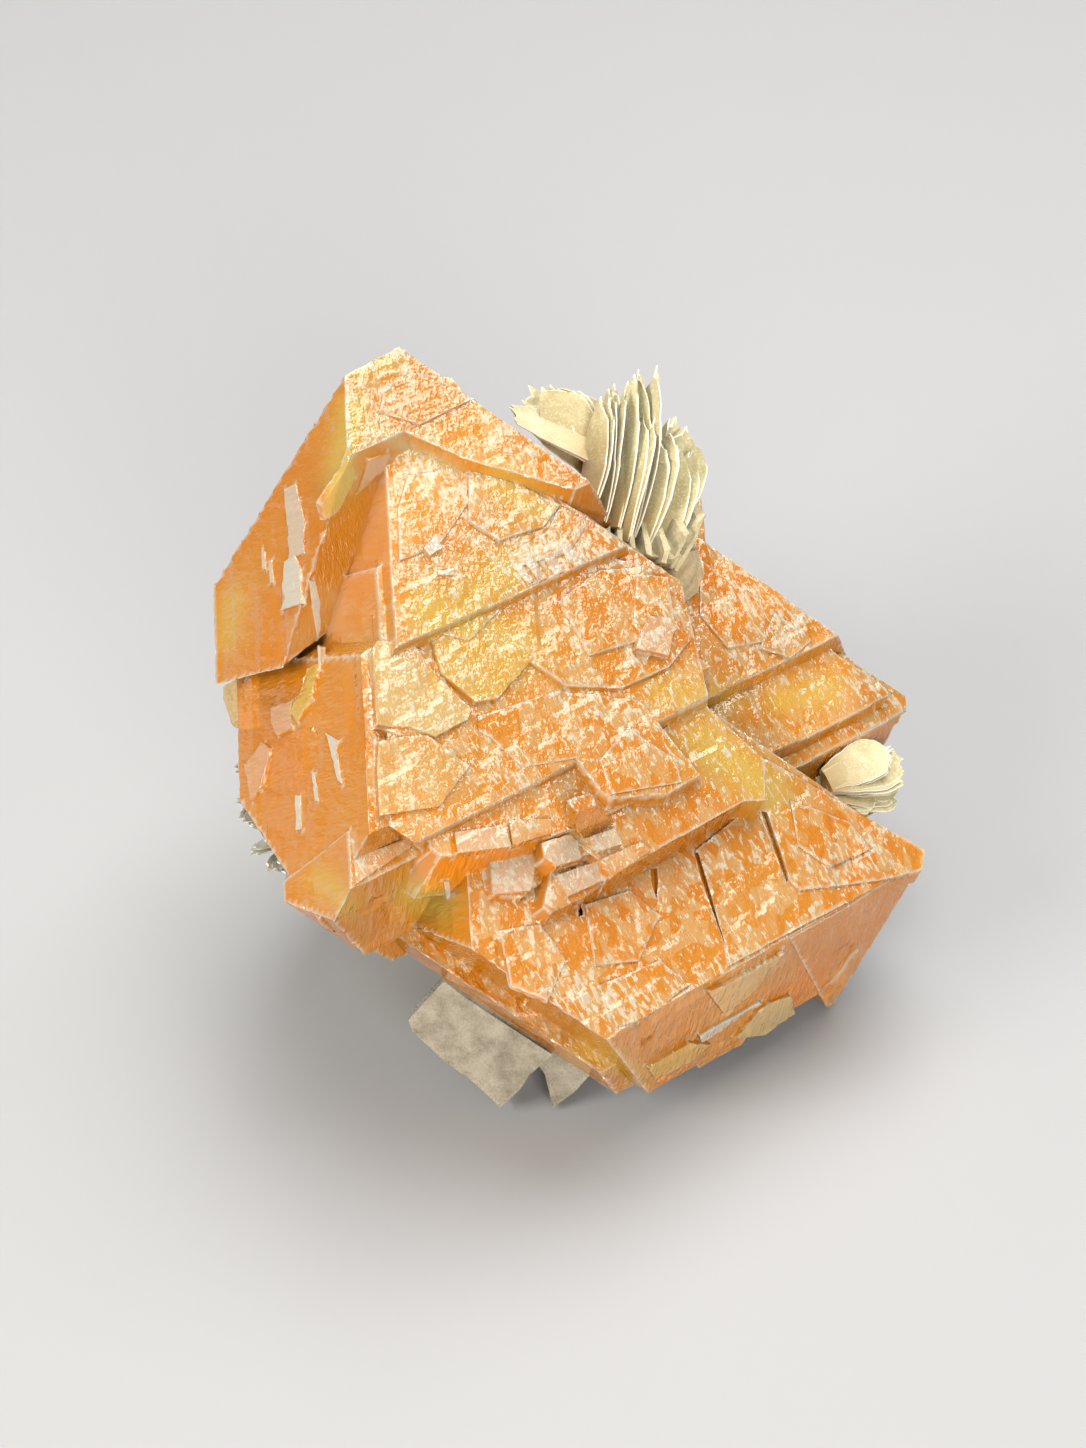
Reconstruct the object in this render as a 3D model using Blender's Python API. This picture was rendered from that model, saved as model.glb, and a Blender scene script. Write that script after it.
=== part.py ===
"""Scheelite on muscovite: amber crystals grown in parallel, carried by books of pale mica.

Every scheelite crystal here has the same form, the double pyramid {112}, in the same orientation,
so one set of eight face directions shapes the crystals, the ledges and the plates of the front face.
A crystal is the space inside such planes. A plate is an outline on the front face with sloping walls.
Each pixel of the photograph stands for one line of sight, and a level is a height above the front
face's own plane, so a pixel and a level together give a point.
"""

import itertools
import math
import random

import bmesh
import bpy
from mathutils import Euler, Matrix, Vector

for old in list(bpy.data.objects):
    bpy.data.objects.remove(old, do_unlink=True)

MM = 0.001

# Driving dimensions
PIXEL = 0.08 * MM  # what one pixel of the photograph spans at the middle of the front face
AXIAL_RATIO = 2.170  # scheelite's c axis over its a axis
GAP = 0.3 * MM  # between one mineral and the next
FLOOR = -33.4 * MM  # where the group is cut flat, below the middle of the front face

# How the crystals stand: the c axis leans back and to the left of upright
ORIENTATION = Euler((math.radians(-18.1), math.radians(-15.2), math.radians(-3.8))).to_matrix()

# The lines of sight of the photograph
MIDDLE = (543.0, 724.0)
FOCAL_PIXELS = 2816.0
SIGHT_HEIGHT = math.radians(40.0)
FRONT_MIDDLE = (565.0, 700.0)

RIGHT = Vector((1, 0, 0))
UP = Vector((0, math.sin(SIGHT_HEIGHT), math.cos(SIGHT_HEIGHT)))
TOWARDS = Vector((0, -math.cos(SIGHT_HEIGHT), math.sin(SIGHT_HEIGHT)))


def face_direction(a, b, c):
    """The outward normal of the {112} face on that side of the three crystal axes."""
    return (ORIENTATION @ Vector((a, b, c * 2 / AXIAL_RATIO))).normalized()


FACES = {
    "front": face_direction(1, -1, 1),
    "left": face_direction(-1, -1, 1),
    "low": face_direction(1, -1, -1),
    "under": face_direction(-1, -1, -1),
    "base": face_direction(-1, 1, -1),
    "right": face_direction(1, 1, -1),
    "crown": face_direction(-1, 1, 1),
    "ridge": face_direction(1, 1, 1),
}
FRONT = FACES["front"]


def sight(pixel):
    """The line of sight through a pixel, one unit deep."""
    across = (pixel[0] - MIDDLE[0]) / FOCAL_PIXELS
    down = (pixel[1] - MIDDLE[1]) / FOCAL_PIXELS
    return RIGHT * across - UP * down - TOWARDS


EYE = -sight(FRONT_MIDDLE) * FOCAL_PIXELS * PIXEL


def at(pixel, level):
    """The point seen at that pixel, level millimetres above the front face's own plane."""
    ray = sight(pixel)
    return EYE + ray * ((level * MM - EYE.dot(FRONT)) / ray.dot(FRONT))


def wall_plane(start, end, level, lean):
    """The plane under the edge from start to end, leaning out by that many degrees on its way down.

    The body lies to the right of the edge, seen from the front."""
    first = at(start, level)
    along = (at(end, level) - first).normalized()
    outward = FRONT.cross(along).normalized()
    tilt = math.radians(lean)
    normal = outward * math.cos(tilt) + FRONT * math.sin(tilt)
    return normal, normal.dot(first)


def mesh_object(name, bm, collection):
    bmesh.ops.recalc_face_normals(bm, faces=bm.faces)
    mesh = bpy.data.meshes.new(name)
    bm.to_mesh(mesh)
    bm.free()
    body = bpy.data.objects.new(name, mesh)
    collection.objects.link(body)
    return body


def hull_of_planes(planes):
    """The corners of the space inside all the planes, each a normal and a distance."""
    corners = []
    for trio in itertools.combinations(planes, 3):
        rows = Matrix([normal for normal, _ in trio])
        if abs(rows.determinant()) < 1e-5:
            continue
        corner = rows.inverted() @ Vector([distance for _, distance in trio])
        if all(normal.dot(corner) <= distance + 1e-7 for normal, distance in planes):
            corners.append(corner)
    return corners


def convex_body(name, planes, collection):
    bm = bmesh.new()
    for corner in hull_of_planes(planes):
        bm.verts.new(corner)
    bmesh.ops.remove_doubles(bm, verts=bm.verts, dist=1e-6)
    bmesh.ops.convex_hull(bm, input=bm.verts)
    bmesh.ops.dissolve_limit(
        bm, angle_limit=math.radians(0.5), verts=bm.verts, edges=bm.edges
    )
    return mesh_object(name, bm, collection)


def crystal_planes(front, base, sides, cuts=()):
    """A crystal's planes: its front and base levels, and a pixel and level that each side passes."""
    planes = [(FRONT, front * MM), (FACES["base"], -base * MM)]
    for side, (pixel, level) in sides.items():
        planes.append((FACES[side], FACES[side].dot(at(pixel, level))))
    return planes + list(cuts)


def cut_plane(through, inside):
    """The plane through three seen points, each a pixel and a level, with the inside point behind it."""
    first, second, third = [at(pixel, level) for pixel, level in through]
    normal = (second - first).cross(third - first).normalized()
    if normal.dot(at(*inside) - first) > 0:
        normal = -normal
    return normal, normal.dot(first)


def on_plane(pixel, plane):
    """The point seen at that pixel on a plane, given as a normal and a distance."""
    ray = sight(pixel)
    return EYE + ray * ((plane[1] - EYE.dot(plane[0])) / ray.dot(plane[0]))


def plate(name, outline, plane, thickness, lean, collection):
    """A plate on a face: its outline seen on the plane, its walls leaning out as they go down."""
    normal, distance = plane
    turn = sum(p[0] * q[1] - q[0] * p[1] for p, q in zip(outline, outline[1:] + outline[:1]))
    corners = [on_plane(pixel, plane) for pixel in (outline if turn > 0 else outline[::-1])]
    drop = thickness * MM
    spread = drop * math.tan(math.radians(lean))
    low = []
    for index, corner in enumerate(corners):
        before = (corner - corners[index - 1]).normalized()
        after = (corners[(index + 1) % len(corners)] - corner).normalized()
        out_before = normal.cross(before)
        bisector = (out_before + normal.cross(after)).normalized()
        reach = spread / max(0.4, bisector.dot(out_before))
        low.append(corner + bisector * reach - normal * drop)
    bm = bmesh.new()
    upper = [bm.verts.new(corner) for corner in corners]
    lower = [bm.verts.new(corner) for corner in low]
    bm.faces.new(upper)
    bm.faces.new(lower)
    for index in range(len(upper)):
        bm.faces.new((upper[index - 1], upper[index], lower[index], lower[index - 1]))
    return mesh_object(name, bm, collection)


specimen = bpy.data.collections.new("Scheelite on muscovite")
helpers = bpy.data.collections.new("Growth blocks")
helpers.hide_render = True
for made in (specimen, helpers):
    bpy.context.scene.collection.children.link(made)

# The scheelite crystals, from the top left to the lower right
CRYSTALS = {
    "top": crystal_planes(
        1.6, -17.9,
        {"left": ((345, 390), 1.6), "ridge": ((400, 347), 1.6)},
        [cut_plane([((343, 376), 1.6), ((398, 347), 1.6), ((206, 583), -16.6)], ((380, 400), 0)),
         cut_plane([((358, 452), 1.6), ((300, 600), -5.2), ((480, 396), 1.6)], ((380, 400), 0)),
         cut_plane([((222, 686), -16), ((320, 650), -5), ((260, 640), -20)], ((380, 400), 0))],
    ),
    "top_right": crystal_planes(
        1.55, -16.9,
        {
            "left": ((400, 500), 1.55), "crown": ((430, 375), 0), "ridge": ((402, 350), 1.55),
            "low": ((597, 480), 1.55), "right": ((604, 456), -4), "under": ((240, 670), -14),
        },
        [wall_plane((470, 459), (371, 431), 1.6, 24), wall_plane((562, 499), (470, 459), 1.6, 24)],
    ),
    "second": crystal_planes(
        0.4, -16.4,
        {
            "left": ((388, 500), 0.4), "crown": ((420, 380), -3), "ridge": ((592, 521), 0.4),
            "low": ((590, 561), 0.4), "right": ((630, 545), -1), "under": ((262, 660), -13),
        },
    ),
    "main": crystal_planes(
        -0.8, -16.7,
        {
            "left": ((380, 620), -0.8), "crown": ((420, 400), -4), "ridge": ((655, 563), -0.8),
            "low": ((560, 770), -0.8), "under": ((300, 800), -14),
        },
        [wall_plane((680, 577), (700, 660), -0.8, 8),
         cut_plane([((380, 566), -0.8), ((300, 590), -8), ((640, 470), -0.8)], ((450, 700), -2))],
    ),
    "middle": crystal_planes(
        -1.2, -18.2,
        {"left": ((367, 780), -1.2), "ridge": ((730, 680), -1.2), "low": ((395, 822), -1.2)},
        [wall_plane((700, 650), (770, 757), -1.2, 10),
         cut_plane([((242, 805), -16.5), ((290, 878), -11.6), ((268, 842), -22)], ((400, 750), -5)),
         cut_plane([((297, 910), -12), ((430, 984), -16), ((352, 936), -21)], ((400, 750), -5)),
         cut_plane([((350, 650), -3.5), ((222, 686), -16), ((460, 570), -1.2)], ((450, 700), -2))],
    ),
    "corner": crystal_planes(
        -3.6, -12.4,
        {
            "left": ((350, 860), -3.6), "crown": ((380, 700), -6), "ridge": ((600, 700), -5),
            "low": ((385, 873), -3.6), "right": ((560, 850), -6), "under": ((301, 907), -9.6),
        },
        [cut_plane([((345, 832), -3.6), ((296, 868), -9.5), ((430, 800), -3.6)], ((360, 880), -6))],
    ),
    "lower": crystal_planes(
        -4.6, -15.8,
        {
            "left": ((469, 905), -4.6), "crown": ((500, 700), -8), "ridge": ((840, 799), -4.6),
            "low": ((767, 950), -4.6), "right": ((924, 872), -4.6), "under": ((540, 995), -4.6),
        },
    ),
    "lower_middle": crystal_planes(
        -4.65, -17.6,
        {
            "left": ((560, 900), -13), "crown": ((600, 700), -9), "ridge": ((840, 801), -4.65),
            "low": ((765, 945), -4.65), "right": ((840, 900), -4.7), "under": ((660, 1010), -5),
        },
    ),
    "lower_right": crystal_planes(
        -4.7, -18.6,
        {
            "left": ((690, 900), -13), "crown": ((600, 700), -9), "ridge": ((840, 801), -4.7),
            "low": ((800, 934), -4.75), "under": ((790, 940), -5),
        },
        [cut_plane([((923, 873), -4.7), ((837, 1009), -18.2), ((921, 850), -4.7)],
                   ((800, 900), -6))],
    ),
    "skirt": crystal_planes(
        -12.6, -17.4,
        {
            "left": ((345, 935), -13.4), "crown": ((600, 700), -16), "ridge": ((700, 900), -16),
            "low": ((755, 985), -12.6), "right": ((740, 950), -14), "under": ((500, 1016), -17.4),
        },
    ),
    "far": crystal_planes(
        -9.0, -19,
        {
            "left": ((600, 600), -12), "crown": ((640, 560), -12), "ridge": ((780, 594), -9.0),
            "low": ((808, 650), -9.0), "right": ((872, 657), -10.0),
        },
    ),
    "spur": crystal_planes(
        -9.6, -18.4,
        {
            "left": ((640, 500), -10), "crown": ((686, 475), -9.6), "ridge": ((701, 499), -9.6),
            "low": ((700, 560), -10), "right": ((703, 506), -9.6),
        },
    ),
    "far_step": crystal_planes(
        -10.4, -20,
        {
            "left": ((640, 640), -14), "crown": ((660, 600), -14), "ridge": ((868, 675), -10.4),
            "low": ((850, 716), -10.4), "right": ((893, 690), -10.4),
        },
    ),
    "far_foot": crystal_planes(
        -11.6, -21,
        {
            "left": ((700, 700), -15), "crown": ((700, 640), -15), "ridge": ((893, 688), -11.6),
            "low": ((865, 733), -11.6), "right": ((906, 703), -11.6),
        },
    ),
}

# Plates of the front face: outline, level, thickness, lean of the walls
PLATES = {
    "terrace": (
        [(400, 560), (395, 640), (440, 640), (500, 650), (532, 662), (566, 685), (623, 687),
         (669, 667), (690, 640), (674, 590), (640, 565), (560, 540)],
        -0.4, 2.6, 20,
    ),
    "shelf": (
        [(476, 717), (478, 731), (491, 737), (523, 767), (576, 758), (600, 790), (612, 799),
         (668, 794), (700, 775), (640, 700), (560, 690)],
        -0.7, 2.3, 20,
    ),
    "ledge_b": (
        [(423, 825), (426, 838), (433, 849), (441, 856), (484, 851), (512, 845), (551, 836),
         (576, 828), (640, 800), (660, 740), (520, 740), (470, 799)],
        -1.5, 5.5, 16,
    ),
    "ledge_c": (
        [(600, 861), (610, 879), (656, 851), (700, 826), (744, 801), (765, 800), (765, 760),
         (700, 700), (600, 780), (560, 830)],
        -1.9, 5, 16,
    ),
    "cell_c": (
        [(542, 842), (545, 857), (557, 867), (589, 856), (622, 843), (646, 838), (640, 800),
         (580, 810)],
        -2.1, 4, 14,
    ),
    "cell_d": (
        [(543, 908), (552, 914), (584, 899), (612, 880), (603, 840), (556, 850)],
        -3.0, 3, 14,
    ),
    "cell_a": (
        [(492, 859), (492, 894), (522, 898), (553, 876), (560, 850), (538, 845)],
        -4.0, 2, 14,
    ),
    "right_slope": (
        [(757, 809), (784, 873), (800, 890), (880, 880), (922, 870), (925, 850), (765, 758)],
        -4.1, 2, 14,
    ),
    "right_half": (
        [(696, 850), (712, 896), (724, 940), (728, 966), (840, 906), (905, 873), (800, 830),
         (744, 812)],
        -4.35, 2, 14,
    ),
}


def leaf_points(base, tip, side, width, thickness, rng):
    """The corners of a leaf of mica: a rounded six-sided plate from its base to its tip."""
    along = tip - base
    length = along.length
    along.normalize()
    across = (side - along * side.dot(along)).normalized()
    normal = along.cross(across)
    profile = (
        (0.0, -0.34), (0.0, 0.34), (0.38, 0.5), (0.74, 0.47), (0.94, 0.24),
        (1.0, -0.02), (0.92, -0.3), (0.66, -0.5), (0.3, -0.47),
    )
    outline = []
    for reach, spread in profile:
        jitter = rng.uniform(0.9, 1.08)
        outline.append(base + along * length * reach + across * width * spread * jitter)
    half = normal * thickness / 2
    return [p - half for p in outline], [p + half for p in outline]


def slab(name, low, high, collection):
    """A flat prism between two matching outlines."""
    bm = bmesh.new()
    lower = [bm.verts.new(p) for p in low]
    upper = [bm.verts.new(p) for p in high]
    bm.faces.new(lower)
    bm.faces.new(upper)
    for index in range(len(low)):
        bm.faces.new((lower[index - 1], lower[index], upper[index], upper[index - 1]))
    return mesh_object(name, bm, collection)


def away(pixel, distance):
    """The point seen at that pixel, that many millimetres behind the middle of the front face."""
    return EYE + sight(pixel) * (FOCAL_PIXELS * PIXEL + distance * MM)


# Leaves of the top rosette: base pixel, tip pixel, width, turn towards the viewer, depths
TOP_LEAVES = [
    ((612, 470), (509, 400), 3.4, 62, 12, 17),
    ((612, 486), (556, 389), 4.4, 55, 12, 16),
    ((612, 500), (591, 393), 4.0, 40, 11, 15),
    ((602, 524), (616, 396), 6.5, 14, 10, 14),
    ((612, 534), (636, 375), 7.5, 12, 10, 13),
    ((622, 542), (650, 367), 8.0, 10, 10, 12),
    ((632, 552), (663, 366), 8.0, 12, 10, 12),
    ((642, 560), (669, 404), 7.5, 16, 11, 13),
    ((650, 566), (682, 424), 7.0, 24, 12, 14),
    ((656, 570), (692, 450), 6.0, 36, 13, 15),
    ((660, 572), (693, 486), 5.0, 44, 13, 16),
]
RIGHT_LEAVES = [
    ((818, 788), (876, 744), 5.0, 40, 24, 27),
    ((818, 790), (893, 748), 5.5, 35, 24, 27),
    ((818, 792), (904, 766), 6.0, 30, 24, 27),
    ((820, 794), (903, 788), 6.0, 35, 23, 26),
    ((820, 796), (888, 804), 5.0, 45, 23, 25),
    ((815, 790), (866, 804), 4.0, 55, 22, 24),
]
LEAF = 0.55 * MM


def rosette(name, leaves, collection):
    rng = random.Random(name)
    made = []
    for index, (base, tip, width, turn, near, far) in enumerate(leaves):
        start = away(base, near)
        end = away(tip, far)
        along = (end - start).normalized()
        angle = math.radians(turn)
        side = TOWARDS * math.cos(angle) + along.cross(TOWARDS) * math.sin(angle)
        low, high = leaf_points(start, end, side, width * MM, LEAF, rng)
        made.append(slab(f"{name}_{index}", low, high, collection))
    return made


def unite(target, tools, operation="UNION"):
    for tool in tools:
        cut = target.modifiers.new(tool.name, "BOOLEAN")
        cut.operation = operation
        cut.solver = "EXACT"
        cut.object = tool
        tool.display_type = "WIRE"
        tool.hide_render = True


def take(body, name):
    """Moves a helper among the specimen's own pieces."""
    helpers.objects.unlink(body)
    specimen.objects.link(body)
    body.name = name
    return body


blocks = [convex_body(name, planes, helpers) for name, planes in CRYSTALS.items()]
for name, (outline, level, thickness, lean) in PLATES.items():
    blocks.append(plate(name, outline, (FRONT, level * MM), thickness, lean, helpers))
scheelite = take(blocks[0], "scheelite")
unite(scheelite, blocks[1:])

# Room for the scheelite: each crystal with its planes moved out by the gap
room = [
    convex_body(name + "_room", [(normal, distance + GAP) for normal, distance in planes], helpers)
    for name, planes in CRYSTALS.items()
]
rooms = room[0]
unite(rooms, room[1:])
rooms.hide_render = True
rooms.display_type = "WIRE"

# The two grey-white plates that stand under the lower left edge
def front_plate_plane(pixel, depth, normal):
    direction = Vector(normal).normalized()
    return direction, direction.dot(away(pixel, depth))


FRONT_PLATES = [
    ([(440, 985), (408, 1020), (412, 1032), (445, 1062), (470, 1080), (490, 1098), (500, 1108),
      (520, 1090), (530, 1075), (560, 1048), (520, 1000), (470, 960)],
     front_plate_plane((500, 1100), 9.5, (-0.2, -0.9, 0.3)), 1.8, 4),
    ([(520, 1040), (545, 1075), (553, 1108), (575, 1092), (592, 1073), (600, 1040), (560, 1010)],
     front_plate_plane((553, 1100), 10.2, (0.1, -0.95, 0.2)), 1.6, 4),
]
front_plates = [
    plate(f"front_plate_{index}", outline, plane, thickness, lean, helpers)
    for index, (outline, plane, thickness, lean) in enumerate(FRONT_PLATES)
]

# The matrix behind and under the crystals: a core of mica with books standing out of it
CORE = [
    (-13, 6, -36), (-8, 3, -36), (10, 1, -36), (17, 7, -36), (16, 22, -36), (6, 30, -36),
    (-9, 29, -36), (-15, 18, -36), (-19, 8, -13), (-12, 1, -16), (8, -2, -20), (16, 4, -22),
    (19, 21, -15), (8, 29, -5), (-8, 27, -2), (-18, 20, -5),
]


# Where the mica reaches out from the core: to the top rosette, the right one and the front plates
ARMS = {
    "stem": [
        (-4, 26, -14), (12, 24, -16), (14, 29, -14), (-2, 31, -12), (1, 17, 3), (9, 15.5, 2.5),
        (11.5, 19, 1), (11, 26, -2), (2, 25, 0), (-2, 21, 0),
    ],
    "left_stem": [
        (-14, 8, -20), (-14, 20, -24), (-14, 20, -14), (-22, 9, -21), (-22, 16, -22),
        (-22, 15, -17),
    ],
}
RIGHT_LUMP = [
    (20.5, 12, -25), (21, 17.5, -25), (25, 11, -23.5), (25.5, 16.5, -23.5), (24, 12, -20.5),
    (25, 16, -20), (21, 17, -20),
]


def core_body(name, points, collection):
    bm = bmesh.new()
    for point in points:
        bm.verts.new(Vector(point) * MM)
    bmesh.ops.convex_hull(bm, input=bm.verts)
    return mesh_object(name, bm, collection)


def book(name, centre, normal, radius, thickness, rng, collection):
    """A book of mica: a thick six-sided plate with uneven corners."""
    normal = normal.normalized()
    across = normal.orthogonal().normalized()
    up = normal.cross(across)
    turn = rng.uniform(0, math.pi)
    outline = []
    for step in range(7):
        angle = turn + step * math.tau / 7
        reach = radius * rng.uniform(0.82, 1.1)
        outline.append(centre + (across * math.cos(angle) + up * math.sin(angle)) * reach)
    half = normal * thickness / 2
    return slab(name, [p - half for p in outline], [p + half for p in outline], collection)


# Books round the core: where each stands, which way it faces, its radius and thickness
BOOKS = [
    ((-14, 14, -22), (0.3, -0.4, 0.9), 8, 2.2), ((-15, 18, -30), (0.2, 0.5, 0.8), 7, 2.4),
    ((-16, 12, -16), (0.5, 0.5, 0.7), 6.5, 1.8), ((-15, 22, -14), (-0.3, 0.2, 0.9), 7, 2.0),
    ((-8, 28, -10), (0.7, -0.2, 0.6), 7, 2.2), ((-6, 29, -20), (-0.5, 0.3, 0.8), 8, 2.6),
    ((2, 30, -28), (0.2, -0.5, 0.8), 7.5, 2.4), ((6, 30, -14), (0.8, 0.3, 0.5), 7, 2.0),
    ((14, 26, -18), (-0.4, 0.5, 0.8), 7.5, 2.4), ((17, 18, -26), (0.5, 0.2, 0.8), 6.5, 2.2),
    ((13, 24, -30), (0.1, 0.6, 0.8), 6.5, 2.4), ((16, 10, -29), (0.3, -0.3, 0.9), 5, 2.0),
    ((-2, 27, -6), (0.9, 0.2, 0.3), 6, 1.8), ((3, 30, -21), (0.2, 0.9, 0.4), 6, 1.8),
    ((-11, 25, -26), (0.8, -0.5, 0.3), 6.5, 2.0), ((11, 28, -24), (0.9, 0.4, -0.2), 6, 2.0),
]
matrix = core_body("mica_matrix", CORE, specimen)
rng = random.Random(4)
books = [
    book(f"book_{index}", Vector(centre) * MM, Vector(normal), radius * MM, thickness * MM,
         rng, helpers)
    for index, (centre, normal, radius, thickness) in enumerate(BOOKS)
]
# The small leaves that look out past the left edge
LEFT_LEAVES = [
    ((345, 770), (237, 765), 4.2, 60, 30, 13), ((345, 790), (241, 802), 4.0, 40, 30, 13),
    ((350, 800), (254, 826), 4.0, 50, 30, 13), ((355, 810), (263, 852), 4.2, 70, 30, 13),
    ((360, 820), (284, 874), 4.2, 62, 30, 12),
]
arms = [core_body(name, points, helpers) for name, points in ARMS.items()]
leaves = rosette("left_leaf", LEFT_LEAVES, helpers) + rosette("top_leaf", TOP_LEAVES, helpers)
unite(matrix, arms + books + leaves)

mica_right = core_body("mica_right", RIGHT_LUMP, specimen)
unite(mica_right, rosette("right_leaf", RIGHT_LEAVES, helpers))

mica_front = take(front_plates[0], "mica_front")
unite(mica_front, front_plates[1:])
for body in (matrix, mica_right, mica_front):
    unite(body, [rooms], "DIFFERENCE")

# Everything rests on one level
ground = convex_body(
    "ground",
    [(Vector((0, 0, 1)), FLOOR), (Vector((0, 0, -1)), 0.06), (Vector((1, 0, 0)), 0.09),
     (Vector((-1, 0, 0)), 0.09), (Vector((0, 1, 0)), 0.09), (Vector((0, -1, 0)), 0.09)],
    helpers,
)
for body in (scheelite, matrix, mica_front):
    unite(body, [ground], "DIFFERENCE")

# The foot of the group's box comes to the origin
FLOOR_SHIFT = Vector((-0.5 * MM, -7.8 * MM, -FLOOR))
for body in list(specimen.objects) + list(helpers.objects):
    body.location = FLOOR_SHIFT

# Colours
LOOKS = {
    "scheelite": ((0.95, 0.48, 0.12), 0.25),
    "mica_matrix": ((0.78, 0.72, 0.56), 0.45),
    "mica_right": ((0.84, 0.8, 0.6), 0.4),
    "mica_front": ((0.66, 0.64, 0.56), 0.4),
}
for body in specimen.objects:
    colour, roughness = LOOKS[body.name]
    material = bpy.data.materials.new(body.name)
    material.use_nodes = True
    surface = material.node_tree.nodes["Principled BSDF"]
    surface.inputs["Base Color"].default_value = (*colour, 1)
    surface.inputs["Roughness"].default_value = roughness
    body.data.materials.append(material)
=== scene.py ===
# %% [markdown]
# # An amber crystal group on pale mica
# This lesson dresses a hand-sized mineral specimen: scheelite crystals, the colour of honey, grown
# in parallel on leaves of pale mica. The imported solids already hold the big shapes. What is left
# is what the eye enjoys: etched faces, thin growth plates, walls that glow, and fans of leaves
# thinner than card. All sizes are in metres, and Z points up.

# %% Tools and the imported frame
import math
import random

import bmesh
import bpy
import numpy as np
from mathutils import Euler, Matrix, Vector, noise
from mathutils.bvhtree import BVHTree


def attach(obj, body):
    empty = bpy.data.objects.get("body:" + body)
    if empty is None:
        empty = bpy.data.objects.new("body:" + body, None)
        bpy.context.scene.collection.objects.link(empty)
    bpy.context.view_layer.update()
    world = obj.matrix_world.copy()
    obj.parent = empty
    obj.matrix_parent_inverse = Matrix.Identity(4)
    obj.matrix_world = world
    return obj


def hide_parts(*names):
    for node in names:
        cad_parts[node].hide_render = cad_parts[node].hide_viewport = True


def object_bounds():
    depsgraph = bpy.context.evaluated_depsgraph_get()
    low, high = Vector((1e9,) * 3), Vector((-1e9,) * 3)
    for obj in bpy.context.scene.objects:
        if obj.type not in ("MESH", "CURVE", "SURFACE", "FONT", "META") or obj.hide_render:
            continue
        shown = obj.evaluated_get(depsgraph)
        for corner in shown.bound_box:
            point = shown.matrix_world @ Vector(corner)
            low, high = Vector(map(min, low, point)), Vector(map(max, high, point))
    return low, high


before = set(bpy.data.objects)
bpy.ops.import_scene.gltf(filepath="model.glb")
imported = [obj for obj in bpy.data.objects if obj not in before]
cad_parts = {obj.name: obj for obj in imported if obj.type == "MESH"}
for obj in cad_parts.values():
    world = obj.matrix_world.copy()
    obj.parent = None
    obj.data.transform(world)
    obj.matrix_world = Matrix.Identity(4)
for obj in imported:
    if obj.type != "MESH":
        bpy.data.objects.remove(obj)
cad_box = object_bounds()
print("nodes:", sorted(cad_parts))


# %% A helper for objects
def placed(name, data):
    """A new object of the scene that holds this data."""
    body = bpy.data.objects.new(name, data)
    bpy.context.scene.collection.objects.link(body)
    return body


# %% [markdown]
# ## The camera first
# The specimen is seen from 40 degrees above the shelf with a short telephoto lens. Setting the
# camera before anything else lets every later piece be judged in the right frame. The same lines
# of sight are also used to place details: a pixel and a level above the front face give a point.

# %% Lines of sight
MM = 0.001
PIXEL = 0.08 * MM
MIDDLE = (543.0, 724.0)
PIXELS_HIGH = 1448
FOCAL_PIXELS = 2816.0
SIGHT_HEIGHT = math.radians(40.0)
FRONT_MIDDLE = (565.0, 700.0)
FLOOR_SHIFT = Vector((-0.5 * MM, -7.8 * MM, 33.4 * MM))

RIGHT = Vector((1, 0, 0))
UP = Vector((0, math.sin(SIGHT_HEIGHT), math.cos(SIGHT_HEIGHT)))
TOWARDS = Vector((0, -math.cos(SIGHT_HEIGHT), math.sin(SIGHT_HEIGHT)))


def sight(pixel):
    """The direction in which the camera sees a pixel, one unit deep."""
    across = (pixel[0] - MIDDLE[0]) / FOCAL_PIXELS
    down = (pixel[1] - MIDDLE[1]) / FOCAL_PIXELS
    return RIGHT * across - UP * down - TOWARDS


EYE = -sight(FRONT_MIDDLE) * FOCAL_PIXELS * PIXEL

# %% Camera
lens = bpy.data.cameras.new("viewer")
lens.sensor_fit = "VERTICAL"
lens.sensor_height = 36.0
lens.lens = FOCAL_PIXELS / PIXELS_HIGH * lens.sensor_height
lens.clip_start = 0.005
lens.clip_end = 10.0
viewer = placed("viewer", lens)
pose = Matrix((RIGHT, UP, TOWARDS)).transposed().to_4x4()
pose.translation = EYE + FLOOR_SHIFT
viewer.matrix_world = pose
bpy.context.scene.camera = viewer
print(f"lens {lens.lens:.0f} mm, {EYE.length / MM:.0f} mm from the front face")

# %% [markdown]
# ## Floor and light
# A plain pale floor, and soft light from large panels. The front faces of the crystals mirror the
# sky to the right of straight up. The largest panel hangs beside that direction, so that only the
# facets that tilt a little flash. The other two panels light the left faces and the low ones, and
# the world stays dim, so that the amber shows its own colour and not a grey mirror.

# %% Floor
floor_mesh = bpy.data.meshes.new("floor")
floor_mesh.from_pydata([(-2, -2, 0), (2, -2, 0), (2, 2, 0), (-2, 2, 0)], [], [(0, 1, 2, 3)])
floor = placed("floor", floor_mesh)
paint = bpy.data.materials.new("pale_floor")
paint.use_nodes = True
coat = paint.node_tree.nodes["Principled BSDF"].inputs
coat["Base Color"].default_value = (0.36, 0.365, 0.38, 1)
coat["Roughness"].default_value = 0.6
floor_mesh.materials.append(paint)
print("floor:", floor_mesh.name)


# %% Light
def soft_panel(name, direction, distance, side, power, colour):
    """A square panel of light that faces the specimen from that direction."""
    data = bpy.data.lights.new(name, "AREA")
    data.shape = "SQUARE"
    data.size = side
    data.energy = power
    data.color = colour
    direction = Vector(direction).normalized()
    centre = Vector((0, 0, 0.025))
    placed(name, data).matrix_world = (
        Matrix.Translation(centre + direction * distance)
        @ direction.to_track_quat("Z", "Y").to_matrix().to_4x4()
    )


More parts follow.
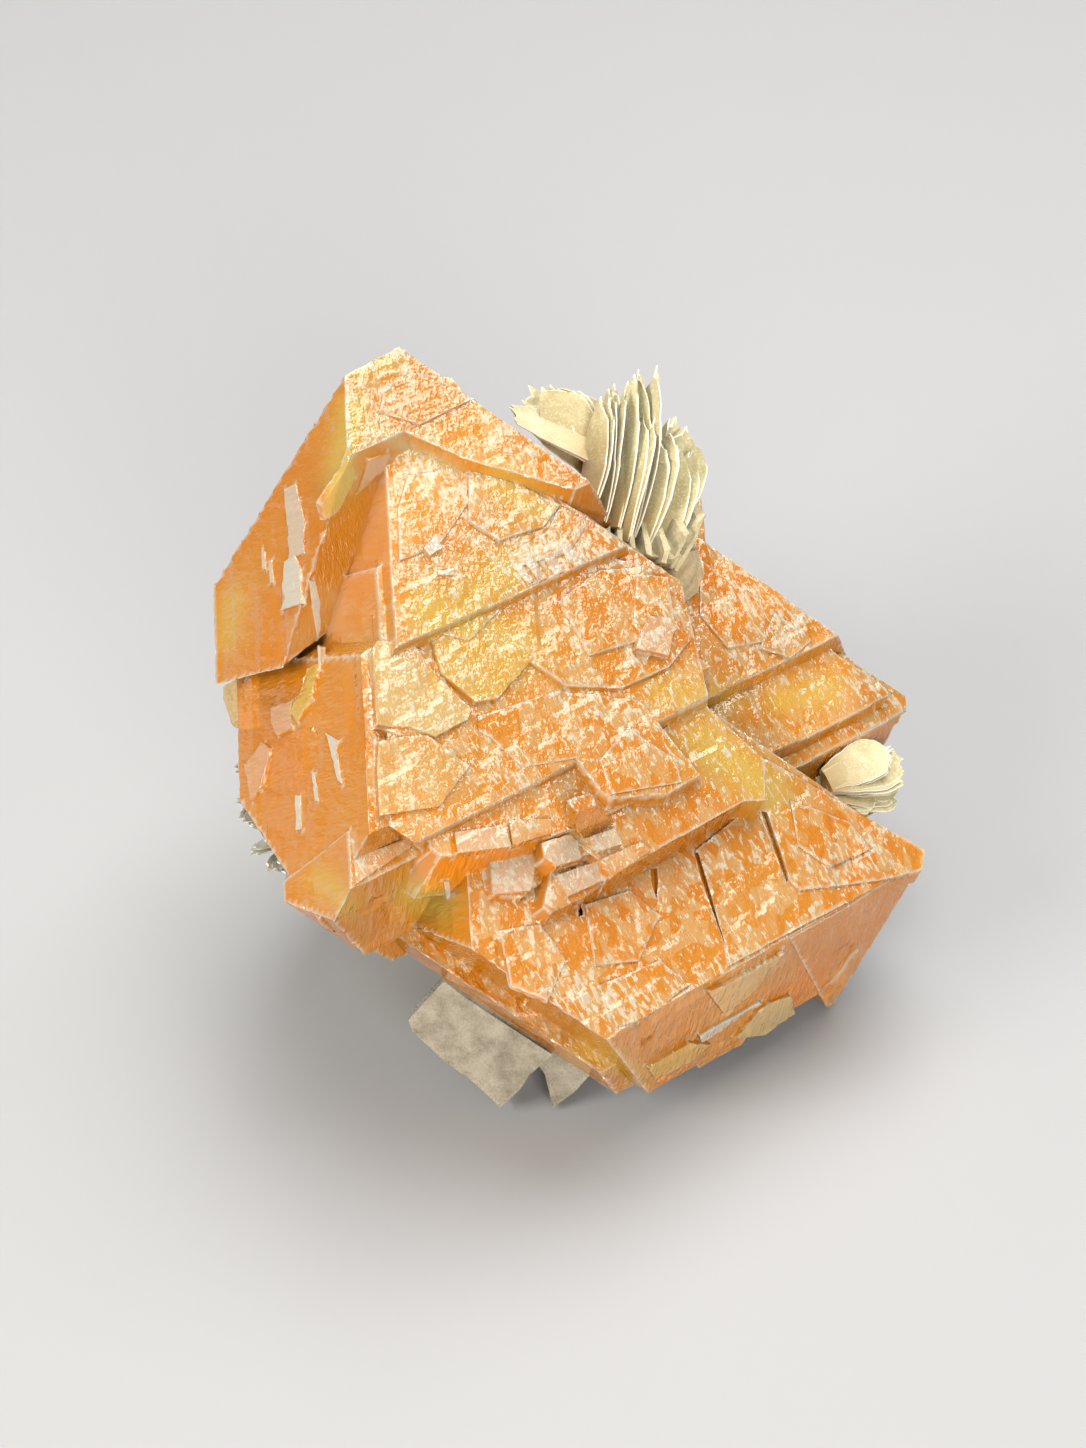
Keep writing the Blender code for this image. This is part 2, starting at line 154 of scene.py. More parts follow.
soft_panel("sky_panel", (0.15, 0.35, 0.92), 0.55, 0.5, 4.6, (1, 0.98, 0.94))
soft_panel("left_panel", (-0.75, -0.45, 0.45), 0.6, 0.3, 3.4, (1, 0.95, 0.86))
soft_panel("front_panel", (0.2, -0.85, 0.3), 0.7, 0.35, 5.0, (1, 0.95, 0.88))
world = bpy.data.worlds.new("studio")
world.use_nodes = True
glow = world.node_tree.nodes["Background"].inputs
glow["Color"].default_value = (1, 0.98, 0.95, 1)
glow["Strength"].default_value = 0.28
bpy.context.scene.world = world

# %% [markdown]
# ## The look of the render
# Amber is a strong, warm colour. The plain "Standard" view keeps it warm where a filmic curve would
# wash it out. Light gets four bounces at most, which keeps the render short.

# %% View
bpy.context.scene.view_settings.view_transform = "Standard"
bpy.context.scene.view_settings.exposure = 0.0
bounces = bpy.context.scene.cycles
bounces.max_bounces, bounces.transmission_bounces = 4, 4
bounces.glossy_bounces, bounces.diffuse_bounces, bounces.volume_bounces = 1, 1, 0
bounces.caustics_reflective = bounces.caustics_refractive = False
bounces.adaptive_threshold = 0.15
print("view:", bpy.context.scene.view_settings.view_transform)

# %% [markdown]
# ## The directions of the crystals
# Scheelite grows as a steep double pyramid with eight equal faces. Every crystal of this group
# stands in the same orientation, so the same eight directions serve all of them. The edges between
# the front face and its neighbours give the two directions in which growth steps and hatching run.

# %% Crystal directions
AXIAL_RATIO = 2.170
ORIENTATION = Euler((math.radians(-18.1), math.radians(-15.2), math.radians(-3.8))).to_matrix()


def face_direction(a, b, c):
    """The outward normal of the pyramid face on that side of the crystal's axes."""
    return (ORIENTATION @ Vector((a, b, c * 2 / AXIAL_RATIO))).normalized()


FRONT = face_direction(1, -1, 1)
LEFT = face_direction(-1, -1, 1)
LOW = face_direction(1, -1, -1)
UNDER = face_direction(-1, -1, -1)
ALONG_LOW = FRONT.cross(LOW).normalized()  # the long ledges run this way
ALONG_LEFT = FRONT.cross(LEFT).normalized()
print("ledges run along", [round(x, 2) for x in ALONG_LOW], [round(x, 2) for x in ALONG_LEFT])


def at(pixel, level):
    """The point seen at that pixel, level millimetres above the front face's own plane."""
    ray = sight(pixel)
    place = EYE + ray * ((level * MM - EYE.dot(FRONT)) / ray.dot(FRONT))
    return place + FLOOR_SHIFT


# %% [markdown]
# ## Mesh helpers
# Small closed shapes are made with bmesh. A finished piece is one closed mesh with its place in
# its own points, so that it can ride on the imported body. Points within two thousandths of a
# millimetre count as one, and faces that differ by less than a third of a degree count as flat.

# %% Helpers for meshes
TOUCHING = 2e-6
FLAT = math.radians(0.3)


def body_of(name, bm):
    """Turns a bmesh into an object of the scene as it is."""
    mesh = bpy.data.meshes.new(name)
    bm.to_mesh(mesh)
    bm.free()
    return placed(name, mesh)


def mesh_object(name, bm):
    """Turns a bmesh into an object of the scene, with its faces pointing outwards."""
    bmesh.ops.recalc_face_normals(bm, faces=bm.faces)
    return body_of(name, bm)


def prism(name, lower, upper):
    """A closed slab between two outlines with the same number of corners."""
    bm = bmesh.new()
    low = [bm.verts.new(p) for p in lower]
    high = [bm.verts.new(p) for p in upper]
    bm.faces.new(low)
    bm.faces.new(high)
    for i in range(len(low)):
        bm.faces.new((low[i - 1], low[i], high[i], high[i - 1]))
    return mesh_object(name, bm)


def on_plane(pixel, place, normal):
    """The point of a plane that is seen at that pixel."""
    ray = sight(pixel)
    return EYE + FLOOR_SHIFT + ray * ((place - EYE - FLOOR_SHIFT).dot(normal) / ray.dot(normal))


def cell(name, outline, place, normal, drop, lean):
    """A growth plate: an outline in the view on a plane, with walls that lean out below."""
    turn = sum(p[0] * q[1] - q[0] * p[1] for p, q in zip(outline, outline[1:] + outline[:1]))
    corners = [on_plane(p, place, normal) for p in (outline if turn > 0 else outline[::-1])]
    low = []
    for i, corner in enumerate(corners):
        before = (corner - corners[i - 1]).normalized()
        after = (corners[(i + 1) % len(corners)] - corner).normalized()
        out = normal.cross(before)
        bisector = (out + normal.cross(after)).normalized()
        spread = drop * MM * math.tan(math.radians(lean)) / max(0.4, bisector.dot(out))
        low.append(corner + bisector * spread - normal * drop * MM)
    return prism(name, low, corners)


def evaluated_copy(body, name):
    """A plain mesh object of what the body's modifiers make."""
    graph = bpy.context.evaluated_depsgraph_get()
    mesh = bpy.data.meshes.new_from_object(body.evaluated_get(graph), depsgraph=graph)
    return placed(name, mesh)


def combine(body, tools, operation):
    """A Boolean of the body with each tool; the tools are removed."""
    for tool in tools:
        step = body.modifiers.new(tool.name, "BOOLEAN")
        step.operation = operation
        step.solver = "EXACT"
        step.object = tool
    name = body.name
    made = evaluated_copy(body, name)
    for old in [body] + tools:
        bpy.data.objects.remove(old, do_unlink=True)
    made.name = name
    return made


def merged(mesh):
    """A bmesh of the mesh, with its points joined and its flat faces made whole."""
    bm = bmesh.new()
    bm.from_mesh(mesh)
    bmesh.ops.remove_doubles(bm, verts=bm.verts, dist=TOUCHING)
    bmesh.ops.dissolve_limit(bm, angle_limit=FLAT, verts=bm.verts, edges=bm.edges)
    return bm


def merged_copy(node, name):
    """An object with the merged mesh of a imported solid."""
    return body_of(name, merged(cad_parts[node].data))


def own_piece(body, finish, slot, *nodes):
    """Gives the body its finish and its place on the specimen."""
    body.data.materials.clear()
    body.data.materials.append(finish)
    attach(body, "root")
    if nodes:
        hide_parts(*nodes)
    print(body.name, len(body.data.polygons), "faces")


print("merging points within", TOUCHING / MM, "mm")


# %% [markdown]
# ## Small growth cells on the front
# Between the big ledges the front is a mosaic of thin plates, each a fraction of a millimetre
# above the next. The ones that can be told apart are given by their outlines and joined to the
# solid, so their edges stay crisp.

# %% Growth cells
CELLS = [
    # outline, level of the top, depth, lean of the walls in degrees
    ([(628, 727), (676, 760), (682, 782), (612, 794), (600, 760)], -0.55, 0.4, 14),
    ([(405, 372), (452, 378), (470, 400), (420, 424), (380, 412), (384, 390)], 1.78, 0.5, 14),
    ([(408, 475), (452, 468), (470, 500), (440, 545), (400, 560), (398, 510)], 0.62, 0.5, 16),
    ([(470, 470), (520, 484), (560, 505), (545, 525), (500, 540), (468, 520)], 0.72, 0.6, 14),
    ([(560, 506), (588, 522), (570, 552), (520, 566), (512, 552), (548, 530)], 0.58, 0.4, 12),
    ([(430, 590), (480, 575), (500, 610), (470, 640), (432, 630)], -0.18, 0.5, 14),
    ([(560, 600), (600, 570), (640, 566), (664, 590), (640, 640), (590, 655)], -0.15, 0.6, 16),
    ([(636, 574), (668, 577), (676, 630), (650, 655), (634, 620)], 0.05, 0.6, 16),
    ([(380, 640), (430, 652), (456, 700), (420, 742), (384, 728)], -0.62, 0.5, 12),
    ([(372, 735), (420, 752), (440, 790), (412, 815), (376, 806)], -0.98, 0.5, 12),
    ([(500, 930), (540, 924), (566, 960), (548, 1000), (512, 985)], -4.42, 0.5, 14),
    ([(585, 905), (630, 890), (660, 915), (640, 960), (596, 965)], -4.38, 0.5, 14),
    ([(600, 985), (660, 960), (690, 985), (650, 1018), (618, 1028)], -4.4, 0.5, 14),
    ([(790, 800), (850, 822), (872, 850), (830, 868), (798, 846)], -3.95, 0.5, 14),
    ([(700, 560), (760, 600), (770, 640), (728, 648), (700, 615)], -8.8, 0.6, 14),
    ([(775, 612), (812, 640), (790, 658), (760, 648)], -8.75, 0.6, 14),
]
crystals = merged_copy("scheelite", "scheelite_crystals")
cells = [cell(f"cell_{i}", outline, at(outline[0], level), FRONT, drop, lean)
         for i, (outline, level, drop, lean) in enumerate(CELLS)]
crystals = combine(crystals, cells, "UNION")
print("crystals:", len(crystals.data.polygons), "faces with", len(CELLS), "cells")

# %% [markdown]
# ## Tiles with painted highlights and glow, and grooves
# Some flakes stand out by their brightness, on any of the faces; on most tiles that brightness is a
# painted highlight or reflection, on some a painted golden glow. The script looks up which face is
# seen at the middle of the outline and lays a thin tile on it. Each tile has the name of the finish
# that it brings, and its strength, for later. Two thick pale shards stand out at the left contour,
# and grooves are cut as wedges.

# %% Tiles and grooves
# The first word of a tile names what is painted on its top: a highlight or reflection, a golden
# glow where light comes out, or a paler amber
TILES = [
    # finish, strength, millimetres above the face and in all, outline
    ("painted_highlight", 0.75, 0.14, 0.4,
     [(284, 489), (295, 483), (298, 498), (303, 524), (302, 553), (288, 560), (285, 512)]),
    ("painted_highlight", 1.0, 0.2, 0.5, [(284, 562), (294, 555), (300, 570), (301, 603), (280, 610)]),
    ("painted_highlight", 1.0, 0.14, 0.4,
     [(310, 581), (315, 581), (320, 602), (321, 627), (318, 641), (312, 604)]),
    ("painted_highlight", 0.9, 0.14, 0.4, [(316, 645), (321, 647), (320, 671), (317, 671)]),
    ("painted_highlight", 0.8, 0.12, 0.4, [(261, 546), (264, 552), (265, 570), (262, 568)]),
    ("painted_highlight", 0.7, 0.12, 0.4, [(268, 560), (271, 560), (273, 583), (270, 583)]),
    ("painted_highlight", 1.0, 0.16, 0.4,
     [(325, 733), (337, 740), (336, 751), (341, 784), (337, 779), (332, 758)]),
    ("painted_highlight", 1.0, 0.14, 0.4, [(294, 795), (299, 795), (300, 829), (295, 830)]),
    ("painted_highlight", 0.9, 0.12, 0.4, [(311, 771), (314, 772), (318, 801), (315, 801)]),
    ("painted_highlight", 0.35, 0.3, 0.8, [(271, 708), (292, 699), (290, 729), (276, 736), (270, 719)]),
    ("painted_highlight", 0.3, 0.3, 0.8, [(244, 765), (262, 742), (270, 748), (258, 790), (250, 800)]),
    ("painted_highlight", 1.0, 0.2, 0.5, [(444, 883), (449, 882), (452, 900), (446, 899)]),
    ("painted_highlight", 0.35, 0.25, 0.6, [(369, 460), (390, 453), (392, 464), (358, 494)]),
    ("painted_glow", 0.8, 0.3, 0.8, [(290, 712), (306, 668), (318, 662), (310, 700), (296, 722)]),
    ("painted_glow", 0.9, 0.25, 0.7,
     [(322, 505), (345, 470), (352, 452), (356, 480), (338, 512), (326, 520)]),
    ("painted_highlight", 0.9, 0.2, 0.5, [(424, 548), (436, 534), (443, 547), (430, 555)]),
    ("painted_highlight", 0.8, 0.2, 0.5, [(438, 570), (454, 568), (454, 575), (438, 575)]),
    ("painted_highlight", 0.6, 0.18, 0.5, [(511, 564), (519, 562), (535, 580), (529, 584)]),
    ("painted_highlight", 0.7, 0.18, 0.5, [(526, 564), (536, 561), (547, 577), (540, 581)]),
    ("painted_highlight", 0.6, 0.18, 0.5, [(545, 559), (554, 555), (565, 571), (556, 575)]),
    ("painted_highlight", 0.6, 0.18, 0.5, [(564, 553), (574, 548), (586, 563), (576, 568)]),
    ("painted_highlight", 0.35, 0.22, 0.6,
     [(651, 616), (672, 618), (674, 629), (669, 655), (636, 648), (642, 629)]),
    ("pale", 0.65, 0.25, 0.8,
     [(372, 650), (378, 640), (414, 644), (437, 676), (471, 708), (468, 719), (436, 736),
      (411, 727), (374, 724)]),
    ("painted_glow", 0.6, 0.45, 1.0,
     [(432, 641), (475, 619), (514, 645), (533, 659), (498, 698), (476, 702), (440, 672)]),
    ("pale", 0.35, 0.3, 0.9,
     [(376, 742), (402, 736), (428, 735), (446, 748), (470, 765), (440, 806), (380, 815)]),
    ("painted_highlight", 0.45, 0.35, 0.9, [(455, 832), (505, 824), (512, 846), (458, 853)]),
    ("painted_highlight", 0.15, 0.25, 0.9, [(509, 820), (552, 818), (552, 833), (513, 845)]),
    ("painted_highlight", 0.6, 0.4, 1.0,
     [(542, 842), (570, 834), (578, 841), (582, 858), (557, 866), (545, 858)]),
    ("painted_highlight", 0.55, 0.5, 1.0, [(588, 837), (615, 828), (622, 844), (599, 851)]),
    ("painted_highlight", 0.1, 0.7, 1.2, [(577, 812), (597, 806), (614, 822), (613, 827), (577, 833)]),
    ("painted_highlight", 0.6, 0.4, 1.0, [(491, 860), (537, 849), (536, 866), (531, 890), (493, 894)]),
    ("painted_highlight", 0.55, 0.4, 1.0, [(557, 875), (597, 861), (609, 878), (568, 896)]),
    ("painted_highlight", 0.15, 0.3, 1.0, [(600, 860), (641, 841), (652, 850), (612, 877)]),
    ("painted_highlight", 1.0, 0.25, 0.6, [(700, 1036), (760, 1002), (763, 1004), (703, 1044)]),
    ("painted_highlight", 0.6, 0.15, 0.5, [(830, 985), (858, 948), (860, 950), (833, 986)]),
    ("pale", 0.5, 0.35, 0.9,
     [(709, 993), (724, 987), (784, 954), (760, 985), (727, 1017), (715, 1002)]),
    ("pale", 0.8, 0.3, 2.4, [(736, 1040), (764, 1036), (795, 1014), (792, 996), (768, 1004)]),
    ("painted_glow", 0.7, 0.3, 0.9, [(648, 1068), (690, 1044), (712, 1046), (690, 1062), (656, 1080)]),
    ("painted_highlight", 0.3, 0.3, 0.9, [(352, 838), (367, 853), (413, 836), (414, 845), (356, 884)]),
]
SHARDS = [
    # the pixel that gives the face, millimetres above it and in all, outline
    ((252, 700), -0.3, 4.0,
     [(223, 686), (237, 678), (262, 662), (264, 690), (250, 720), (243, 729), (232, 727),
      (222, 699)]),
    ((262, 790), -0.3, 4.0,
     [(240, 756), (256, 745), (262, 780), (262, 812), (246, 806), (241, 780)]),
]
GROOVES = [
    # outline, bottom line, depth
    ([(757, 808), (770, 812), (793, 882), (785, 889)], [(764, 813), (787, 880)], 0.55),
    ([(691, 850), (701, 850), (727, 950)], [(697, 854), (722, 938)], 0.45),
    ([(646, 868), (661, 866), (657, 903)], [(654, 870), (656, 895)], 0.5),
    ([(576, 903), (584, 902), (581, 930)], [(580, 904), (581, 924)], 0.3),
]


def seen_face(surface, pixel):
    """Where the line of sight of a pixel meets the crystals, and which way the face looks."""
    place, normal, _, _ = surface.ray_cast(EYE + FLOOR_SHIFT, sight(pixel).normalized())
    return place, normal


def groove(name, surface, outline, bottom, depth):
    """A wedge to cut out: an outline above the face and a line below it."""
    place, normal = seen_face(surface, bottom[0])
    bm = bmesh.new()
    for pixel in outline:
        bm.verts.new(on_plane(pixel, place + normal * 0.5 * MM, normal))
    for pixel in bottom:
        bm.verts.new(on_plane(pixel, place - normal * depth * MM, normal))
    bmesh.ops.convex_hull(bm, input=bm.verts)
    return mesh_object(name, bm)


surface = BVHTree.FromPolygons([v.co for v in crystals.data.vertices],
                               [p.vertices for p in crystals.data.polygons])
tiles, tops = [], []
for i, (finish, strength, above, thick, outline) in enumerate(TILES):
    place, normal = seen_face(surface, np.mean(outline, axis=0))
    tops.append((finish, strength, place + normal * above * MM, normal, outline))
    tiles.append(cell(f"tile_{i}", outline, tops[-1][2], normal, thick, 10))
for i, (pixel, above, thick, outline) in enumerate(SHARDS):
    place, normal = seen_face(surface, pixel)
    tops.append(("pale", 0.8, place + normal * above * MM, normal, outline))
    tiles.append(cell(f"shard_{i}", outline, tops[-1][2], normal, thick, 5))
crystals = combine(crystals, tiles, "UNION")
cuts = [groove(f"groove_{i}", surface, *numbers) for i, numbers in enumerate(GROOVES)]
crystals = combine(crystals, cuts, "DIFFERENCE")
print("crystals:", len(crystals.data.polygons), "faces with", len(tiles), "tiles")

# %% [markdown]
# ## A fine net over the crystals
# Etching needs points to move. The crystals are cut into small parallelograms along their own
# growth directions, so that a step in height later follows a crystal edge instead of a saw-tooth.


# %% The net
def slice_along(bm, direction, spacing):
    """Cuts every face of the mesh by parallel planes that far apart."""
    spans = [v.co.dot(direction) for v in bm.verts]
    place = min(spans) + spacing * 0.37
    while place < max(spans):
        bmesh.ops.bisect_plane(
            bm, geom=bm.verts[:] + bm.edges[:] + bm.faces[:], dist=TOUCHING,
            plane_co=direction * place, plane_no=direction,
        )
        place += spacing


def net(bm, directions):
    """Cuts the mesh along each direction; no face keeps more than four corners."""
    for direction, spacing in directions:
        slice_along(bm, direction.normalized(), spacing)
    bmesh.ops.triangulate(bm, faces=[f for f in bm.faces if len(f.verts) > 4])


NET = 0.42 * MM
bm = merged(crystals.data)
net(bm, [(FRONT.cross(ALONG_LOW), NET), (FRONT.cross(ALONG_LEFT), NET), (FRONT, NET * 1.6)])
print("net:", len(bm.verts), "points", len(bm.faces), "faces")

# %% [markdown]
# ## Etching, steps and chipped edges
# Faces of the front family are covered with low terraces: hundreds of parallelograms, each a few
# hundredths of a millimetre high, whose sides follow the ledges. The left faces are smoother, with
# a few long steps, and the low faces have streaks. Edges of real crystals are never quite straight,
# so the points on sharp edges move in by a hair. Three numbers are kept on every point for the
# finish: how etched it is, how near it is to a sharp edge, where a highlight is painted, and which
# tone of amber it has.

# %% Terraces
LOWEST, HIGHEST = -0.32, 0.14  # millimetres


def terraces(places, along, across, seed, count, sizes, steps, wobble):
    """Heights in millimetres at these points: parallelograms with sides along two edges."""
    rng = np.random.default_rng(seed)
    normal = along.cross(across).normalized()
    side_a = across.cross(normal).normalized()
    side_b = along.cross(normal).normalized()
    a = places @ np.array(side_a) / MM
    b = places @ np.array(side_b) / MM
    a = a + wobble * np.sin(b * 1.9 + 1.3 * np.sin(a * 0.8)) * 0.5
    b = b + wobble * np.sin(a * 2.3 + 1.7 * np.sin(b * 0.7)) * 0.5
    height = np.zeros(len(places))
    low_a, high_a, low_b, high_b = a.min(), a.max(), b.min(), b.max()
    for _ in range(count):
        centre_a = rng.uniform(low_a, high_a)
        centre_b = rng.uniform(low_b, high_b)
        half_a = rng.uniform(*sizes) * rng.uniform(0.5, 1.4)
        half_b = rng.uniform(*sizes) * rng.uniform(0.5, 1.4)
        inside = (np.abs(a - centre_a) < half_a) & (np.abs(b - centre_b) < half_b)
        height[inside] += rng.uniform(*steps)
    return np.clip(height, LOWEST, HIGHEST)


FAMILIES = [
    # title, how etched, outward direction, the edges' directions,
    # seed, count, half sizes, steps and wobble in millimetres
    ("front", 1.0, FRONT, ALONG_LOW, ALONG_LEFT,
     11, 420, (0.5, 2.6), (-0.09, 0.06), 0.35),
    ("left", 0.1, LEFT, LEFT.cross(FRONT).normalized(), LEFT.cross(UNDER).normalized(),
     12, 90, (0.8, 4.5), (-0.1, 0.05), 0.15),
    ("low", 0.22, LOW, LOW.cross(FRONT).normalized(), LOW.cross(UNDER).normalized(),
     13, 120, (0.6, 4.0), (-0.14, 0.05), 0.2),
]
bm.normal_update()
bm.verts.ensure_lookup_table()
where = np.array([v.co[:] for v in bm.verts])
shift = np.zeros_like(where)
etched = np.zeros(len(where))
for title, strength, normal, *numbers in FAMILIES:
    mine = sorted({v.index for f in bm.faces if f.normal.dot(normal) > 0.97 for v in f.verts})
    height = terraces(where[mine], *numbers)
    shift[mine] += np.outer(height * MM, np.array(normal))
    etched[mine] += strength
    print(title, "faces:", len(mine), "points up to", height.max().round(2), "mm high")

# %% Painted highlights on sharp edges, and chips
SHARP = 0.2  # radians
DEEPEST_CHIP = 0.32 * MM
# Points on sharp convex edges: the finish paints a highlight on them, and they get the chips below
painted_highlight = np.zeros(len(where))
for edge in bm.edges:
    if len(edge.link_faces) == 2 and edge.is_convex and edge.calc_face_angle(0) > SHARP:
        for vert in edge.verts:
            painted_highlight[vert.index] = 1.0
for vert in bm.verts:
    if painted_highlight[vert.index] == 1.0:
        chip = max(0.0, 0.05 + 0.5 * noise.noise(vert.co / MM * 1.7))
        shift[vert.index] -= np.array(vert.normal) * chip * DEEPEST_CHIP
tone = np.array([noise.noise(v.co / MM * 0.11 + Vector((3, 7, 1))) for v in bm.verts]) * 0.5 + 0.5
for vert, move in zip(bm.verts, shift):
    vert.co += Vector(move)
print("edges:", int(painted_highlight.sum()), "bright points")

# %% [markdown]
# The crystals are not equally clear everywhere. Some patches get painted glints, some a painted
# golden glow where light comes out again, and a few are pale. Each patch is a line in the view with
# a radius in pixels and a strength, and it reaches the back of the crystals too. The tops of the
# tiles keep the finish and the strength that their own list gives.

# %% Patches
# Patches where glints are painted into the colour
PAINTED_GLINT_PATCHES = [
    ((525, 560), (600, 545), 26, 1.0), ((640, 655), (665, 620), 20, 0.9),
    ((740, 590), (790, 625), 30, 1.0), ((740, 650), (790, 670), 22, 0.6),
    ((490, 870), (530, 900), 24, 1.0), ((560, 870), (600, 850), 18, 0.8),
    ((560, 985), (640, 1010), 30, 1.0), ((690, 985), (760, 960), 24, 0.7),
    ((820, 870), (870, 850), 26, 0.8), ((470, 760), (520, 780), 22, 0.7),
    ((420, 470), (470, 500), 26, 0.6), ((590, 710), (680, 730), 28, 0.6),
    ((850, 670), (885, 700), 16, 0.9), ((362, 860), (380, 885), 12, 1.0),
    ((480, 400), (560, 460), 16, 0.5), ((700, 870), (760, 840), 22, 0.6),
]
# Patches where a golden glow is painted into the colour, as if light came out there
PAINTED_GLOW_PATCHES = [
    ((352, 410), (338, 480), 16, 1.0), ((350, 365), (385, 360), 14, 0.8),
    ((412, 895), (440, 905), 20, 1.0), ((470, 600), (520, 560), 24, 0.7),
    ((430, 610), (510, 650), 28, 0.9), ((700, 740), (770, 790), 24, 0.9),
    ((730, 700), (660, 690), 20, 0.6), ((350, 905), (320, 880), 16, 0.7),
    ((580, 1050), (640, 1075), 14, 0.6), ((780, 700), (830, 690), 16, 0.8),
    ((500, 480), (540, 510), 18, 0.7), ((225, 640), (232, 600), 14, 0.6),
]
PALE = [
    ((375, 655), (420, 720), 30, 0.4), ((400, 770), (450, 790), 18, 0.4),
    ((300, 640), (330, 600), 16, 0.3), ((370, 428), (455, 470), 8, 0.7),
]


def seen_patches(places, patches):
    """How much each point lies in the given patches of the view."""
    away = places - np.array(EYE + FLOOR_SHIFT)
    depth = -away @ np.array(TOWARDS)
    pixels = np.stack([MIDDLE[0] + FOCAL_PIXELS * (away @ np.array(RIGHT)) / depth,
                       MIDDLE[1] - FOCAL_PIXELS * (away @ np.array(UP)) / depth], axis=1)
    total = np.zeros(len(places))
    for start, end, radius, strength in patches:
        start, line = np.array(start, float), np.subtract(end, start).astype(float)
        share = np.clip((pixels - start) @ line / (line @ line), 0, 1)
        distance = np.linalg.norm(pixels - start - np.outer(share, line), axis=1)
        total = np.maximum(total, strength * np.exp(-((distance / radius) ** 2)))
    return total


def on_tiles(places, values, finish):
    """The values, with those on top of the tiles of that finish set to the tile's strength."""
    beside, off = 0.2 * MM, 0.03 * MM
    for title, strength, place, normal, outline in tops:
        corners = np.array([on_plane(p, place, normal)[:] for p in outline])
        low, high = corners.min(0) - beside, corners.max(0) + beside
        near = np.all((places > low) & (places < high), axis=1)
        near &= np.abs((places - np.array(place)) @ np.array(normal)) < off
        values[near] = strength if title == finish else values[near] * 0.3
    return values


bpy.data.objects.remove(crystals, do_unlink=True)
crystals = body_of("scheelite_crystals", bm)
# Besides etching and tone, these numbers paint light into the colour: highlights on sharp edges and
# tiles, a golden glow, and glints
for title, values in (
    ("etched", np.clip(etched, 0, 1)), ("tone", tone),
    ("painted_highlight", on_tiles(where, painted_highlight * 0.8, "painted_highlight")),
    ("painted_glow", on_tiles(where, seen_patches(where, PAINTED_GLOW_PATCHES), "painted_glow")),
    ("pale", on_tiles(where, seen_patches(where, PALE), "pale")),
    ("painted_glints", seen_patches(where, PAINTED_GLINT_PATCHES)),
):
    layer = crystals.data.attributes.new(title, "FLOAT", "POINT")
    layer.data.foreach_set("value", values.astype(np.float32))
print("crystals:", len(where), "points with", [a.name for a in crystals.data.attributes])

# %% [markdown]
# ## The amber finish
# Scheelite is clear but not empty: light goes in, is bent strongly, loses its blue on the way
# through and comes out orange. So the finish is glassy, with a high refractive index and an
# absorption that eats blue first. A share of it is milky, because the crystals are full of fine
# cracks: that share takes a pale peach on etched faces and a deep orange on smooth ones.


# %% Helpers for node trees
class Nodes:
    """Adds nodes to a tree one after another."""

    def link(self, source, target):
        """Links a socket to a node's input, or gives the input a plain value."""
        if isinstance(source, bpy.types.NodeSocket):
            self.tree.links.new(source, target)
        else:
            target.default_value = source

    def add(self, kind, links=(), **settings):
        node = self.tree.nodes.new(kind)
        for key, value in settings.items():
            setattr(node, key, value)
        for socket, source in dict(links).items():
            self.link(source, node.inputs[socket])
        return node

    def maths(self, kind, *values):
        """A calculation with numbers or sockets."""
        return self.add("ShaderNodeMath", dict(enumerate(values)), operation=kind).outputs[0]


# %% Helpers for materials
class Recipe(Nodes):
    """The finish of one material."""

    def __init__(self, name):
        self.material = bpy.data.materials.new(name)
        self.material.use_nodes = True
        self.tree = self.material.node_tree
        self.surface = self.tree.nodes["Principled BSDF"]
        self.output = self.tree.nodes["Material Output"]

    def places(self, axes=((1, 0, 0), (0, 1, 0), (0, 0, 1)), scale=(1, 1, 1)):
        """Object coordinates in millimetres along three axes, each with its own scale."""
        coordinates = self.add("ShaderNodeTexCoord")
        mapping = self.add("ShaderNodeMapping", {"Vector": coordinates.outputs["Object"]},
                           vector_type="TEXTURE")
        mapping.inputs["Rotation"].default_value = Matrix(axes).transposed().to_euler()
        mapping.inputs["Scale"].default_value = [MM / s for s in scale]
        return mapping.outputs[0]

    def noise(self, vector, scale, detail, rough, flat=False):
        """Cloudy noise; flat noise varies along a plane only, which is quicker."""
        node = self.add("ShaderNodeTexNoise", {"Vector": vector, "Scale": scale, "Detail": detail,
                                               "Roughness": rough},
                        noise_dimensions="2D" if flat else "3D")
        return node.outputs["Fac"]

    def ramp(self, source, *stops):
        """A ramp between two stops, each a place and a grey value."""
        node = self.add("ShaderNodeValToRGB", {"Fac": source})
        for point, (place, value) in zip(node.color_ramp.elements, stops):
            point.position = place
            point.color = (value, value, value, 1)
        return node.outputs["Color"]

    def blend(self, share, first, second):
        """A mix of two colours, by a share from 0 to 1."""
        first, second = ((*c, 1) if isinstance(c, tuple) else c for c in (first, second))
        node = self.add("ShaderNodeMix", {0: share, 6: first, 7: second}, data_type="RGBA")
        return node.outputs[2]

    def attribute(self, name):
        return self.add("ShaderNodeAttribute", attribute_name=name).outputs["Fac"]

    def bump(self, height, strength, depth):
        """A relief from a height, a strength and a depth in millimetres."""
        node = self.add("ShaderNodeBump", {"Height": height, "Strength": strength,
                                           "Distance": depth * MM})
        self.link(node.outputs[0], self.surface.inputs["Normal"])

    def set(self, **values):
        """Sets or links the inputs of the surface."""
        for key, value in values.items():
            self.link(value, self.surface.inputs[key.replace("_", " ")])


# %% [markdown]
# The marks of etching are of three kinds: a mottle, a hatching of short strokes along the ledges,
# and flakes that each have a brightness of their own. Where they add up, a narrow ramp turns their
# sum into small bright marks: a painted sparkle of glints in the base colour. Roughness follows
# them.

